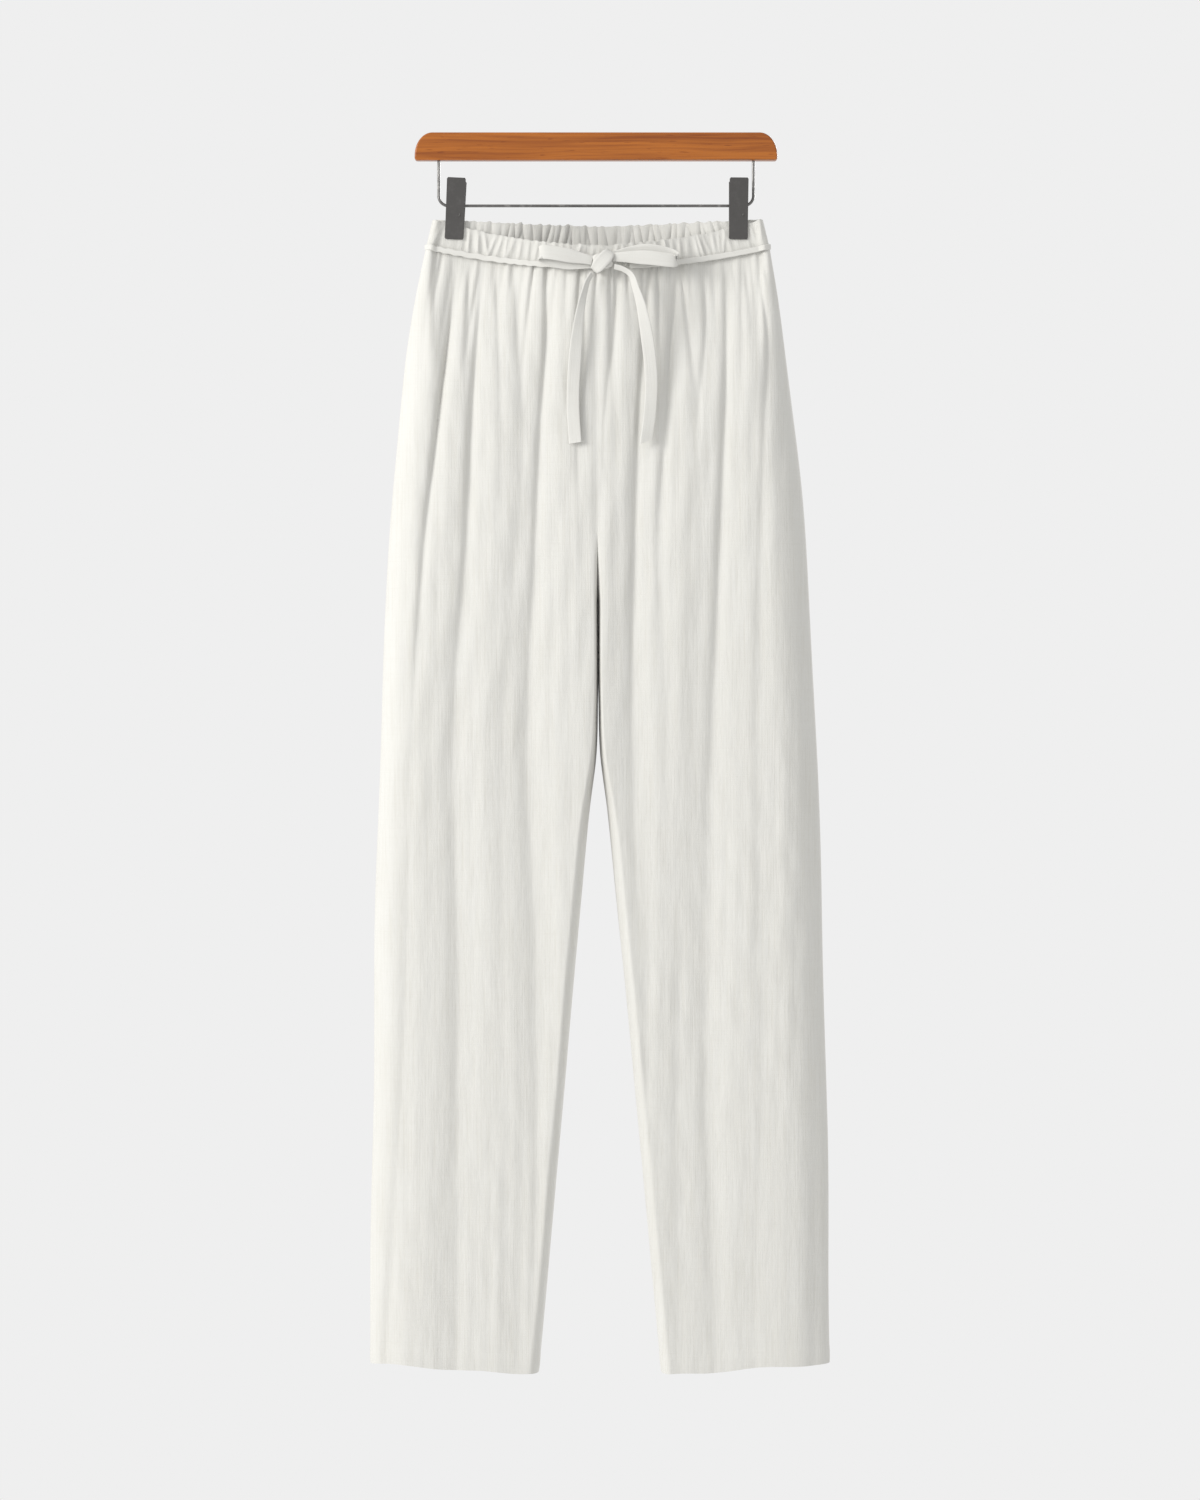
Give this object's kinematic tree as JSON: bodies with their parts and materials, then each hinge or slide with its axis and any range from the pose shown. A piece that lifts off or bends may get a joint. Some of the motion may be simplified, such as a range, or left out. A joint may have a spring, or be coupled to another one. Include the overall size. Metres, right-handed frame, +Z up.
{
  "type": "linen drawstring trousers on a clip hanger",
  "caption": "Full-length straight linen trousers with a ruched elastic waist and a tied drawstring, hanging flat from a wooden bar hanger by spring clips at the sides of the waist.",
  "frame": {"origin": "the middle of the top face of the hanger's wooden bar", "axes": "+Z up along the garment, -Y to its front and the viewer, +Y to its back, +X to the wearer's left"},
  "size_m": [0.4154, 0.0706, 1.117],
  "materials": {
    "linen": "off-white plain-weave linen, matt, with a fine upright slub",
    "varnished_wood": "orange-brown hardwood under clear satin varnish",
    "wire_steel": "plain grey drawn steel",
    "clip_steel": "stamped steel with a dark grey satin coat"
  },
  "bodies": {
    "root": {"hanger_bar": "varnished_wood", "hanger_wire": "wire_steel", "clip_right_front_jaw": "clip_steel", "clip_right_back_jaw": "clip_steel", "clip_right_spring": "wire_steel", "clip_left_front_jaw": "clip_steel", "clip_left_back_jaw": "clip_steel", "clip_left_spring": "wire_steel", "waistband_front": "linen", "waistband_back": "linen", "leg_front_right": "linen", "leg_front_left": "linen", "leg_back_right": "linen", "leg_back_left": "linen", "hem_right": "linen", "hem_left": "linen", "drawstring_front_right": "linen", "drawstring_front_left": "linen", "drawstring_back": "linen", "bow_knot": "linen", "bow_loop_right": "linen", "bow_loop_left": "linen", "drawstring_tail_right": "linen", "drawstring_tail_left": "linen"}
  },
  "joints": []
}
